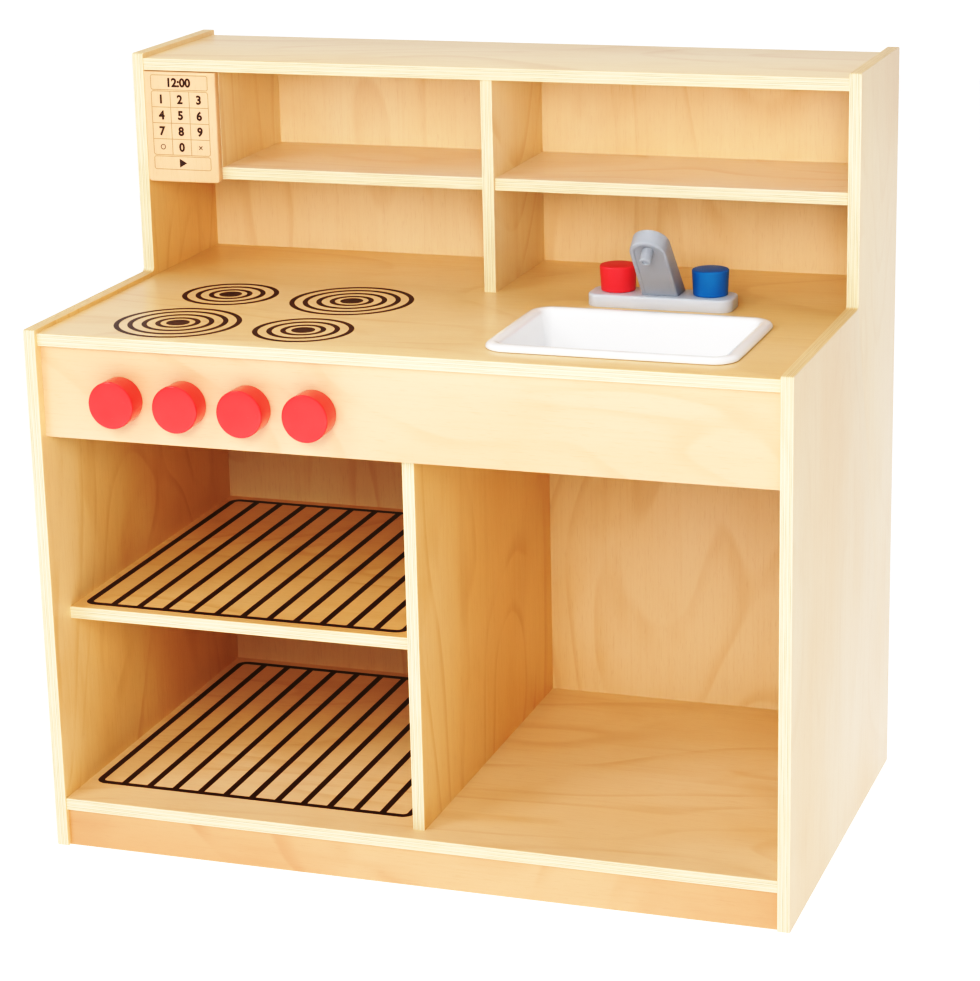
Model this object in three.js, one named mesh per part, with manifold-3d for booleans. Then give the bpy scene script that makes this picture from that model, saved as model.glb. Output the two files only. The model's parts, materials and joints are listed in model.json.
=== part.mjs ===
// Preschool play kitchen: a birch-plywood cabinet with a printed hob and oven, a drop-in sink,
// a toy mixer tap and four turning stove knobs. Millimetres, +Z up, the front faces -Y.
// The origin is on the floor, at the middle of the whole object's width and depth.

import * as THREE from 'three';
import { mergeVertices } from 'three/addons/utils/BufferGeometryUtils.js';
import Module from 'manifold-3d';

const wasm = await Module();
wasm.setup();

// ---------------------------------------------------------------- driving dimensions
// Inside the cabinet group, y is measured back from the front edges of the side panels.

const WIDTH = 914;
const HEIGHT = 920;
const DEPTH = 546;
const PLY = 15;
const GAP = 0.3;

const INNER = WIDTH / 2 - PLY;
const KNOB_FRONT = -16.5;
const CENTRE_Y = (DEPTH + KNOB_FRONT) / 2;

const side = { stepHeight: 646, upperFront: 328, innerCorner: 6, outerCorner: 2 };
const back = { front: DEPTH - 6 - PLY, top: HEIGHT - 6 - PLY };
const bottomShelf = { front: 2, top: 62 };
const kick = { front: 6 };
const counter = { front: 6, top: 641 };
const apron = { front: 13, bottom: 515 };
const lowerDivider = { left: -3 };
const ovenShelf = { front: 45, top: 294 };
const topPanel = { front: 329, top: HEIGHT - 6 };
const upperDivider = { left: -5, front: 333 };
const upperShelf = { front: 339, top: 780 };
const keypad = { front: 327, bottom: 761, right: -346, corner: 5 };

const stoveKnob = { radius: 28, z: 566.3, firstX: -342, pitch: 80.2, count: 4, standOff: 0.5 };
const knobBolt = { bore: 2.8, boreDepth: 14, shank: 2.5, clearHole: 3.1, head: 4.8, headHeight: 3.4 };
const washer = { inner: 2.9, outer: 7, thickness: 1 };

const sink = { x: 232.5, y: 150, width: 294, depth: 209, corner: 30, floor: 75, cutoutInset: 12.8 };
const faucet = { x: 225, y: 314.5, length: 176, depth: 53, height: 15, corner: 16 };
const baseScrew = { offset: 37, hole: 2.4, pilot: 2.1 };
const tap = { y: 320, spacing: 113, topRadius: 22, bottomRadius: 20.5, height: 31, bore: 3, boreDepth: 18 };
const tapScrew = { shank: 2.6, head: 5, headHeight: 3.2, headZ: 5.4, boreRadius: 6.4, boreDepth: 9 };
const spout = {
  width: 44, footThickness: 27, headThickness: 20.5, length: 99, lean: 40, footY: 299.5, bevel: 2,
};
const spoutScrew = { hole: 2.4, headBore: 4.8, headBoreDepth: 5, pilot: 1.9, intoSpout: 12.5 };
const nozzle = { radius: 7, length: 14, along: 80, bore: 4.6, boreDepth: 8, socket: 3 };

const dowel = { radius: 4, length: 28, intoSide: 10 };
const screw = { shank: 1.8, head: 4, length: 34 };

// ---------------------------------------------------------------- materials

function finish(color, roughness, metalness = 0) {
  return new THREE.MeshStandardMaterial({ color, roughness, metalness });
}

const birch = finish(0xe8c894, 0.45);
const beech = finish(0xd9b98a, 0.6);
const coral = finish(0xf4524f, 0.4);
const red = finish(0xe0262b, 0.35);
const blue = finish(0x0a62b0, 0.35);
const grey = finish(0xb4b7bd, 0.45);
const white = finish(0xf7f7f7, 0.25);
const steel = finish(0xb9bcc0, 0.35, 1);

// ---------------------------------------------------------------- solids and booleans

// A closed three.js geometry as a manifold solid: shared vertices merged, flat triangles dropped.
function toSolid(geometry) {
  const bare = geometry.clone();
  bare.deleteAttribute('normal');
  bare.deleteAttribute('uv');
  const merged = mergeVertices(bare, 1e-4);
  const index = merged.index.array;
  const kept = [];
  for (let i = 0; i < index.length; i += 3) {
    const [a, b, c] = [index[i], index[i + 1], index[i + 2]];
    if (a !== b && b !== c && c !== a) kept.push(a, b, c);
  }
  const vertProperties = new Float32Array(merged.attributes.position.array);
  return new wasm.Manifold(new wasm.Mesh({ numProp: 3, vertProperties, triVerts: new Uint32Array(kept) }));
}

function toGeometry(solid) {
  const mesh = solid.getMesh();
  const geometry = new THREE.BufferGeometry();
  geometry.setAttribute('position', new THREE.BufferAttribute(mesh.vertProperties, 3));
  geometry.setIndex(new THREE.BufferAttribute(mesh.triVerts, 1));
  geometry.computeVertexNormals();
  return geometry;
}

function cut(geometry, ...tools) {
  let solid = toSolid(geometry);
  for (const tool of tools) solid = solid.subtract(toSolid(tool));
  return toGeometry(solid);
}

function box(x0, x1, y0, y1, z0, z1) {
  const geometry = new THREE.BoxGeometry(x1 - x0, y1 - y0, z1 - z0);
  return geometry.translate((x0 + x1) / 2, (y0 + y1) / 2, (z0 + z1) / 2);
}

// A turned solid about +Z from [radius, z] points that start and end on the axis.
function turned(points, segments = 24) {
  const profile = points.map(([radius, z]) => new THREE.Vector2(radius, z));
  return new THREE.LatheGeometry(profile, segments).rotateX(Math.PI / 2);
}

// The same about an axis along Y: z in the profile becomes the distance in front of the origin.
function turnedAlongY(points, segments) {
  return turned(points, segments).rotateX(Math.PI / 2);
}

function rod(radius, z0, z1, segments = 14) {
  return turned([[0, z0], [radius, z0], [radius, z1], [0, z1]], segments);
}

function rodAlongY(radius, y0, y1, segments = 14) {
  return turnedAlongY([[0, -y1], [radius, -y1], [radius, -y0], [0, -y0]], segments);
}

function rodAlongX(radius, x0, x1, segments = 10) {
  return rod(radius, x0, x1, segments).rotateY(Math.PI / 2);
}

// A convex quarter round of a turned profile, from the side face to the end face.
function roundedEnd(radius, end, round, steps = 2) {
  const points = [];
  for (let i = 0; i <= steps; i += 1) {
    const a = (i / steps) * (Math.PI / 2);
    points.push([radius - round + round * Math.cos(a), end - round + round * Math.sin(a)]);
  }
  return points;
}

// One ring of a rounded rectangle, inset from the outline by `inset`, at height z.
function ring(width, depth, corner, inset, z, steps = 4) {
  const radius = Math.max(corner - inset, 2);
  const halfX = width / 2 - inset - radius;
  const halfY = depth / 2 - inset - radius;
  const points = [];
  for (const [sx, sy, start] of [[1, 1, 0], [-1, 1, 1], [-1, -1, 2], [1, -1, 3]]) {
    for (let i = 0; i <= steps; i += 1) {
      const a = (start + i / steps) * (Math.PI / 2);
      points.push([sx * halfX + radius * Math.cos(a), sy * halfY + radius * Math.sin(a), z]);
    }
  }
  return points;
}

// A closed solid through rings of equal point count. The first and last rings are capped with a fan.
function throughRings(rings) {
  const count = rings[0].length;
  const positions = rings.flat();
  const index = [];
  for (let r = 0; r < rings.length - 1; r += 1) {
    for (let i = 0; i < count; i += 1) {
      const a = r * count + i;
      const b = r * count + ((i + 1) % count);
      index.push(a, b, b + count, a, b + count, a + count);
    }
  }
  for (const [start, flip] of [[0, true], [(rings.length - 1) * count, false]]) {
    for (let i = 1; i < count - 1; i += 1) {
      const [b, c] = flip ? [i + 1, i] : [i, i + 1];
      index.push(start, start + b, start + c);
    }
  }
  const geometry = new THREE.BufferGeometry();
  geometry.setAttribute('position', new THREE.Float32BufferAttribute(positions.flat(), 3));
  geometry.setIndex(index);
  geometry.computeVertexNormals();
  return geometry;
}

const object = new THREE.Group();
const cabinet = new THREE.Group();
cabinet.position.y = -CENTRE_Y;
object.add(cabinet);

function add(name, geometry, material, parent = cabinet, x = 0, y = 0, z = 0) {
  const mesh = new THREE.Mesh(geometry, material);
  mesh.name = name;
  mesh.position.set(x, y, z);
  parent.add(mesh);
  return mesh;
}

// A board is drawn about its own centre and placed by its position; its tools are in cabinet places.
function board(name, x0, x1, y0, y1, z0, z1, ...tools) {
  const [x, y, z] = [(x0 + x1) / 2, (y0 + y1) / 2, (z0 + z1) / 2];
  const blank = box(x0 - x, x1 - x, y0 - y, y1 - y, z0 - z, z1 - z);
  const moved = tools.map((tool) => tool.clone().translate(-x, -y, -z));
  const geometry = moved.length > 0 ? cut(blank, ...moved) : blank;
  return add(name, geometry, birch, cabinet, x, y, z);
}

// ---------------------------------------------------------------- dowels and back screws

// Two dowels join each end of a full-width board to a side panel.
const dowelRows = [
  { name: 'bottom_shelf', z: bottomShelf.top - PLY / 2, ys: [80, 450] },
  { name: 'countertop', z: counter.top - PLY / 2, ys: [60, 470] },
  { name: 'top_panel', z: topPanel.top - PLY / 2, ys: [370, 500] },
];

function dowelHoles(rows, sides = [-1, 1]) {
  const holes = [];
  for (const row of rows) {
    for (const sideSign of sides) {
      for (const y of row.ys) {
        const inner = INNER - (dowel.length - dowel.intoSide) - GAP;
        const outer = INNER + dowel.intoSide + GAP;
        const ends = [sideSign * inner, sideSign * outer].sort((a, b) => a - b);
        holes.push(rodAlongX(dowel.radius + GAP, ends[0], ends[1]).translate(0, y, row.z));
      }
    }
  }
  return holes;
}

function addDowels() {
  for (const row of dowelRows) {
    for (const [word, sideSign] of [['left', -1], ['right', 1]]) {
      row.ys.forEach((y, i) => {
        const centre = INNER + dowel.intoSide - dowel.length / 2;
        const geometry = rodAlongX(dowel.radius, -dowel.length / 2, dowel.length / 2);
        const place = i === 0 ? 'front' : 'rear';
        add(`${row.name}_dowel_${word}_${place}`, geometry, beech, cabinet, sideSign * centre, y, row.z);
      });
    }
  }
}

// Countersunk screws hold the back panel to the rear edges of the boards in front of it.
const screwRows = [
  { name: 'bottom_shelf', z: bottomShelf.top - PLY / 2, xs: [-380, 60, 380] },
  { name: 'oven_shelf', z: ovenShelf.top - PLY / 2, xs: [-220] },
  { name: 'countertop', z: counter.top - PLY / 2, xs: [-380, 60, 380] },
  { name: 'upper_shelf', z: upperShelf.top - PLY / 2, xs: [-220, 230] },
];

// Screw profile along +Z with its flat head at z = 0, the point below it.
function screwProfile(extra) {
  const { shank, head, length } = screw;
  return [
    [0, -length - extra], [shank + extra, 2 - length], [shank + extra, shank - head], [head + extra, 0],
    [0, 0],
  ];
}

function backScrew(extra = 0) {
  return turned(screwProfile(extra), 12).rotateX(-Math.PI / 2);
}

function backScrewHoles(rows) {
  const face = back.front + PLY;
  return rows.flatMap((row) => row.xs.map((x) => backScrew(GAP).translate(x, face, row.z)));
}

function addBackScrews() {
  for (const row of screwRows) {
    row.xs.forEach((x, i) => {
      add(`back_screw_${row.name}_${i + 1}`, backScrew(), steel, cabinet, x, back.front + PLY, row.z);
    });
  }
}

function screwRow(name) {
  return screwRows.filter((row) => row.name === name);
}

function dowelRow(name) {
  return dowelRows.filter((row) => row.name === name);
}

// ---------------------------------------------------------------- boards

// The stepped side panel's outline, drawn in (y, z) and extruded across its thickness.
function sideOutline() {
  const { stepHeight, upperFront, innerCorner, outerCorner } = side;
  const shape = new THREE.Shape();
  const corner = (y, z, fromY, fromZ, toY, toZ, radius) => {
    shape.lineTo(y + fromY * radius, z + fromZ * radius);
    shape.quadraticCurveTo(y, z, y + toY * radius, z + toZ * radius);
  };
  shape.moveTo(outerCorner, 0);
  corner(DEPTH, 0, -1, 0, 0, 1, outerCorner);
  corner(DEPTH, HEIGHT, 0, -1, -1, 0, outerCorner);
  corner(upperFront, HEIGHT, 1, 0, 0, -1, outerCorner);
  corner(upperFront, stepHeight, 0, 1, -1, 0, innerCorner);
  corner(0, stepHeight, 1, 0, 0, -1, outerCorner);
  corner(0, 0, 0, 1, 1, 0, outerCorner);
  return shape;
}

function sidePanel(name, sign) {
  const settings = { depth: PLY, bevelEnabled: false, curveSegments: 3 };
  const extruded = new THREE.ExtrudeGeometry(sideOutline(), settings);
  // The outline's (x, y) become the object's (y, z), and the extrusion runs along x.
  extruded.applyMatrix4(new THREE.Matrix4().set(0, 0, 1, -PLY / 2, 1, 0, 0, 0, 0, 1, 0, 0, 0, 0, 0, 1));
  const x = sign * (INNER + PLY / 2);
  const holes = dowelHoles(dowelRows, [sign]).map((hole) => hole.translate(-x, 0, 0));
  add(name, cut(extruded, ...holes), birch, cabinet, x, 0, 0);
}

function knobXs() {
  return Array.from({ length: stoveKnob.count }, (_, i) => stoveKnob.firstX + i * stoveKnob.pitch);
}

function tapXs() {
  return [faucet.x - tap.spacing / 2, faucet.x + tap.spacing / 2];
}

function baseScrewXs() {
  return [faucet.x - baseScrew.offset, faucet.x + baseScrew.offset];
}

function addBoards() {
  sidePanel('left_side_panel', -1);
  sidePanel('right_side_panel', 1);
  const under = counter.top - PLY;
  const bottom = bottomShelf.top - PLY;

  board('bottom_shelf', -INNER, INNER, bottomShelf.front, back.front, bottom, bottomShelf.top,
    ...dowelHoles(dowelRow('bottom_shelf')), ...backScrewHoles(screwRow('bottom_shelf')));
  board('kick_board', -INNER, INNER, kick.front, kick.front + PLY, 0, bottom);
  board('lower_divider', lowerDivider.left, lowerDivider.left + PLY, apron.front + PLY, back.front,
    bottomShelf.top, under);
  board('oven_shelf', -INNER, lowerDivider.left, ovenShelf.front, back.front, ovenShelf.top - PLY,
    ovenShelf.top, ...backScrewHoles(screwRow('oven_shelf')));

  const boltHoles = knobXs().map((x) => rodAlongY(knobBolt.clearHole, 0, 50).translate(x, 0, stoveKnob.z));
  board('front_apron', -INNER, INNER, apron.front, apron.front + PLY, apron.bottom, under, ...boltHoles);

  const opening = throughRings([under - 5, counter.top + 5].map(
    (z) => ring(sink.width, sink.depth, sink.corner, sink.cutoutInset, z),
  )).translate(sink.x, sink.y, 0);
  const screwHole = rod(baseScrew.hole, under - 5, counter.top + 5).translate(0, faucet.y, 0);
  const screwHoles = baseScrewXs().map((x) => screwHole.clone().translate(x, 0, 0));
  board('countertop', -INNER, INNER, counter.front, back.front, under, counter.top, opening, ...screwHoles,
    ...dowelHoles(dowelRow('countertop')), ...backScrewHoles(screwRow('countertop')));

  board('back_panel', -INNER, INNER, back.front, back.front + PLY, 0, back.top,
    ...backScrewHoles(screwRows));
  board('top_panel', -INNER, INNER, topPanel.front, back.front + PLY, back.top, topPanel.top,
    ...dowelHoles(dowelRow('top_panel')));
  board('upper_divider', upperDivider.left, upperDivider.left + PLY, upperDivider.front, back.front,
    counter.top, back.top);
  const shelfBottom = upperShelf.top - PLY;
  const shelfScrews = backScrewHoles(screwRow('upper_shelf'));
  board('left_upper_shelf', -INNER, upperDivider.left, upperShelf.front, back.front, shelfBottom,
    upperShelf.top, shelfScrews[0]);
  board('right_upper_shelf', upperDivider.left + PLY, INNER, upperShelf.front, back.front, shelfBottom,
    upperShelf.top, shelfScrews[1]);
  board('keypad_partition', keypad.right - PLY, keypad.right, upperShelf.front, back.front,
    upperShelf.top, back.top);
}

// The keypad board's face has rounded lower corners; it covers the shelf's end and the partition's edge.
function addKeypadBoard() {
  const { bottom, right, corner, front } = keypad;
  const shape = new THREE.Shape();
  shape.moveTo(-INNER, back.top);
  shape.lineTo(-INNER, bottom + corner);
  shape.quadraticCurveTo(-INNER, bottom, -INNER + corner, bottom);
  shape.lineTo(right - corner, bottom);
  shape.quadraticCurveTo(right, bottom, right, bottom + corner);
  shape.lineTo(right, back.top);
  const settings = { depth: upperShelf.front - front, bevelEnabled: false, curveSegments: 4 };
  const geometry = new THREE.ExtrudeGeometry(shape, settings);
  geometry.rotateX(Math.PI / 2);
  add('keypad_board', toGeometry(toSolid(geometry)), birch, cabinet, 0, upperShelf.front, 0);
}

// ---------------------------------------------------------------- stove knobs

// A knob spins with its bolt; the bolt's head and a washer sit behind the apron.
function addStoveKnobs() {
  const front = apron.front - stoveKnob.standOff;
  const length = front - KNOB_FRONT;
  const { bore, boreDepth, shank, head, headHeight } = knobBolt;
  const knobShape = turnedAlongY([
    [0, boreDepth], [bore, boreDepth], [bore, 0], [stoveKnob.radius - 0.8, 0], [stoveKnob.radius, 1.2],
    ...roundedEnd(stoveKnob.radius, length, 2.5), [0, length],
  ], 24);

  const rear = apron.front + PLY;
  const washerShape = turnedAlongY([
    [washer.inner, 0], [washer.outer, 0], [washer.outer, washer.thickness],
    [washer.inner, washer.thickness], [washer.inner, 0],
  ], 12);
  const headFront = -washer.thickness - 0.2;
  const tip = rear - front + boreDepth - 1;
  const boltShape = turnedAlongY([
    [0, headFront - headHeight], [head - 1.2, headFront - headHeight], [head, headFront - headHeight + 1.2],
    [head, headFront], [shank, headFront], [shank, tip], [0, tip],
  ], 12);

  knobXs().forEach((x, i) => {
    add(`stove_knob_${i + 1}`, toGeometry(toSolid(knobShape)), coral, cabinet, x, front, stoveKnob.z);
    add(`stove_knob_bolt_${i + 1}`, toGeometry(toSolid(boltShape)), steel, cabinet, x, rear, stoveKnob.z);
    const ringShape = toGeometry(toSolid(washerShape));
    const washerY = rear + washer.thickness;
    add(`stove_knob_washer_${i + 1}`, ringShape, steel, cabinet, x, washerY, stoveKnob.z);
  });
}

// ---------------------------------------------------------------- sink

// A moulded basin with a rolled rim that rests on the counter. Heights are from the counter top.
function addSink() {
  const inside = [
    [36, 3 - sink.floor], [29, 4.4 - sink.floor], [25, 8.6 - sink.floor], [22.8, 15 - sink.floor],
    [18.6, -6], [17.2, 3], [14.8, 6.4], [10, 7.8], [5, 7.6], [2, 6.4], [0.4, 4.4], [0, 2.2], [0.4, GAP],
  ];
  const outside = [
    [2.8, GAP], [3.4, 3.2], [6, 4.6], [11, 4.4], [13.6, 2.8], [14.4, 0], [15.6, -8], [19.8, 14 - sink.floor],
    [22.4, 6 - sink.floor], [28, 1 - sink.floor], [36, -sink.floor],
  ];
  const { width, depth, corner } = sink;
  const rings = [...inside, ...outside].map(([inset, z]) => ring(width, depth, corner, inset, z));
  const shell = toGeometry(toSolid(throughRings(rings.reverse())));
  add('sink_basin', shell, white, cabinet, sink.x, sink.y, counter.top);
}

// ---------------------------------------------------------------- mixer tap

const baseTop = counter.top + faucet.height;

function addFaucetBase() {
  const { length, depth, corner, height } = faucet;
  const profile = [[0, 0], [0, height - 2.2], [0.6, height - 0.8], [2.2, height]];
  const body = throughRings(profile.map(([inset, z]) => ring(length, depth, corner, inset, z)));
  const tools = [];
  for (const x of tapXs()) {
    const [dx, dy] = [x - faucet.x, tap.y - faucet.y];
    tools.push(rod(tapScrew.shank + 0.5, -1, height + 1).translate(dx, dy, 0));
    tools.push(rod(tapScrew.boreRadius, -1, tapScrew.boreDepth).translate(dx, dy, 0));
  }
  for (const x of baseScrewXs()) tools.push(rod(baseScrew.pilot, -1, 10).translate(x - faucet.x, 0, 0));
  tools.push(rod(spoutScrew.hole, -1, height + 1));
  tools.push(rod(spoutScrew.headBore, -1, spoutScrew.headBoreDepth));
  add('faucet_base', cut(body, ...tools), grey, cabinet, faucet.x, faucet.y, counter.top);
}

function addTaps() {
  const { topRadius, bottomRadius, height, bore, boreDepth } = tap;
  const shape = turned([
    [0, boreDepth], [bore, boreDepth], [bore, 0], [bottomRadius - 0.8, 0], [bottomRadius, 0.8],
    ...roundedEnd(topRadius, height - 0.6, 2.4), [topRadius * 0.5, height - 0.1], [0, height],
  ], 24);
  const { shank, head, headHeight, headZ } = tapScrew;
  const tip = faucet.height + boreDepth - 3;
  const screwShape = turned([
    [0, headZ], [head, headZ], [head, headZ + headHeight], [shank, headZ + headHeight], [shank, tip],
    [0, tip],
  ], 16);
  ['hot', 'cold'].forEach((word, i) => {
    const material = word === 'hot' ? red : blue;
    const x = tapXs()[i];
    add(`${word}_tap`, toGeometry(toSolid(shape)), material, cabinet, x, tap.y, baseTop + GAP);
    add(`${word}_tap_screw`, toGeometry(toSolid(screwShape)), steel, cabinet, x, tap.y, counter.top);
  });
}

// The spout is a slab with a round top that leans forward, cut level at its foot.
function addSpout() {
  const { width, footThickness, headThickness, length, lean, footY, bevel } = spout;
  const half = width / 2;
  const shape = new THREE.Shape();
  shape.moveTo(-half + bevel, -40);
  shape.lineTo(half - bevel, -40);
  shape.lineTo(half - bevel, length - half);
  shape.absarc(0, length - half, half - bevel, 0, Math.PI, false);
  shape.lineTo(-half + bevel, -40);
  const slab = new THREE.ExtrudeGeometry(shape, {
    depth: footThickness - 2 * bevel,
    curveSegments: 12,
    bevelThickness: bevel,
    bevelSize: bevel,
    bevelSegments: 2,
  });
  // Local +Z is the slab's front normal, and its front face is at local z = 0. It thins towards its head.
  slab.translate(0, 0, bevel - footThickness);
  const place = slab.attributes.position;
  const thinning = (1 - headThickness / footThickness) / length;
  for (let i = 0; i < place.count; i += 1) place.setZ(i, place.getZ(i) * (1 - thinning * place.getY(i)));

  const pose = new THREE.Group();
  pose.position.set(faucet.x, footY, baseTop);
  pose.rotation.x = Math.PI / 2 + THREE.MathUtils.degToRad(lean);
  cabinet.add(pose);
  pose.updateMatrix();

  const toPose = pose.matrix.clone().invert();
  const inPose = (geometry) => geometry.translate(faucet.x, 0, baseTop).applyMatrix4(toPose);
  const floor = inPose(box(-100, 100, 100, 500, -100, GAP));
  const screwHole = inPose(rod(spoutScrew.pilot, -5, spoutScrew.intoSpout).translate(0, faucet.y, 0));
  const { radius, bore, boreDepth, socket, along } = nozzle;
  const socketHole = rod(radius + GAP, -socket, 5, 16).translate(0, along, 0);
  add('faucet_spout', cut(slab, floor, screwHole, socketHole), grey, pose);

  const tip = nozzle.length;
  const nozzleShape = turned([
    [0, GAP - socket], [radius, GAP - socket], ...roundedEnd(radius, tip, 1, 2), [bore, tip],
    [bore, tip - boreDepth], [0, tip - boreDepth],
  ], 16);
  add('faucet_nozzle', toGeometry(toSolid(nozzleShape)), grey, pose, 0, along, 0);
}

// Pan-head screws from below: two hold the base to the counter, one holds the spout to the base.
function addFaucetScrews() {
  const panHead = (head, headHeight, shank, length) => toGeometry(toSolid(turned([
    [0, -headHeight], [head - 0.8, -headHeight], [head, -headHeight * 0.5], [head, 0], [shank, 0],
    [shank, length - 2], [0, length],
  ], 16)));
  const under = counter.top - PLY - GAP;
  baseScrewXs().forEach((x, i) => {
    const word = i === 0 ? 'left' : 'right';
    add(`faucet_base_screw_${word}`, panHead(4.4, 3, 1.8, PLY + 9), steel, cabinet, x, faucet.y, under);
  });
  const headZ = counter.top + spoutScrew.headBoreDepth - GAP;
  add('faucet_spout_screw', panHead(4.2, 2.6, 1.6, 20.5), steel, cabinet, faucet.x, faucet.y, headZ);
}

addBoards();
addKeypadBoard();
addDowels();
addBackScrews();
addStoveKnobs();
addSink();
addFaucetBase();
addTaps();
addSpout();
addFaucetScrews();

export default object;
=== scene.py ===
import itertools
import json
import math

import bmesh
import bpy
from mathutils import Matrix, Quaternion, Vector


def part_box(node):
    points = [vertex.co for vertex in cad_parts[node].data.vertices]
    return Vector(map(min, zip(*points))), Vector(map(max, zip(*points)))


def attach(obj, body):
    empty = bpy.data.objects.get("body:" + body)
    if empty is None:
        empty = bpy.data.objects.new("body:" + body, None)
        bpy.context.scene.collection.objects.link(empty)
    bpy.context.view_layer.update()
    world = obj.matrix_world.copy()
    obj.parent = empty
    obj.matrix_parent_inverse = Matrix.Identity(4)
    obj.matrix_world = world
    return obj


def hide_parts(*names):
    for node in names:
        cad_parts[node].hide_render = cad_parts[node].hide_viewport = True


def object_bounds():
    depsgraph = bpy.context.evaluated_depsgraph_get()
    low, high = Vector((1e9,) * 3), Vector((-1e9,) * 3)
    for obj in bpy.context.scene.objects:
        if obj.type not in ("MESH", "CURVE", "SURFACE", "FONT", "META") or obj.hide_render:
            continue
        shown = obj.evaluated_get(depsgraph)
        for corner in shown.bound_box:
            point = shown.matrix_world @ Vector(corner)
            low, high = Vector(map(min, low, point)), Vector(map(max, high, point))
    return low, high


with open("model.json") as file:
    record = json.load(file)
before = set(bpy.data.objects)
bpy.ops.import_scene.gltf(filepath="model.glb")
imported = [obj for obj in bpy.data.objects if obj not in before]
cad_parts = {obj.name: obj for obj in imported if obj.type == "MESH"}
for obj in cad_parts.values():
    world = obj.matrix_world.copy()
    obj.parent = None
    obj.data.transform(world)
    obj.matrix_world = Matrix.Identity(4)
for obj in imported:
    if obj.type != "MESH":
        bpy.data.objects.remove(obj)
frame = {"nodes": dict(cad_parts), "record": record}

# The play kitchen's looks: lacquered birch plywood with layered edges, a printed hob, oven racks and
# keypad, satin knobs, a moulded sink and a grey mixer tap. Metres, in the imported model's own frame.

MM = 0.001
X, Y, Z = Vector((1, 0, 0)), Vector((0, 1, 0)), Vector((0, 0, 1))
cad_low, cad_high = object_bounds()

# ---------------------------------------------------------------- sizes

PLY = 15 * MM
PLIES = 7
BOARD_EDGE = 1.1 * MM

# The side panels step down to just above the counter, a little ahead of the top panel.
STEP_RISE = 5 * MM
UPPER_SETBACK = 1 * MM
SIDE_INNER_CORNER = 6 * MM
SIDE_OUTER_CORNER = 2.5 * MM

KEYPAD_GAP = 0.8 * MM
KEYPAD_CORNER = 5 * MM
KEYPAD_EDGE = 2.4 * MM
SINK_OPENING_INSET = 12.8 * MM
SINK_OPENING_CORNER = 17 * MM

# Radii of the holes through the boards.
BOLT_HOLE = 3.1 * MM
BASE_SCREW_HOLE = 2.4 * MM
BACK_SCREW_HOLE = 4.3 * MM

# A board's face is where the normal leans this far along its axis; the rest is its edge.
FACE_FACING = 0.55

# Printed ink, below and above the surface that carries it.
INK_SUNK = 0.05 * MM
INK_PROUD = 0.12 * MM

CAMERA_AT = Vector((1.1467, -3.2420, 1.4310))
CAMERA_AZIMUTH = 19.16
CAMERA_ELEVATION = 16.55
CAMERA_ROLL = -1.29
CAMERA_LENS = 108.4

# Light levels and how bright they are shown: a gentle S that deepens the shadows.
CONTRAST = [(0.09, 0.042), (0.22, 0.22), (0.42, 0.51), (0.7, 0.83)]
# The white surroundings' strength: as light on the object, in gloss, and seen directly.
AMBIENT = 0.34
GLOSS_LEVEL = 0.75
BACKDROP = 1.1


# ---------------------------------------------------------------- material graphs

def srgb(red, green, blue):
    """A display colour, 0 to 255, as the linear colour that shaders use."""
    def linear(value):
        value /= 255
        return value / 12.92 if value <= 0.04045 else ((value + 0.055) / 1.055) ** 2.4
    return (linear(red), linear(green), linear(blue), 1.0)


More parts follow.
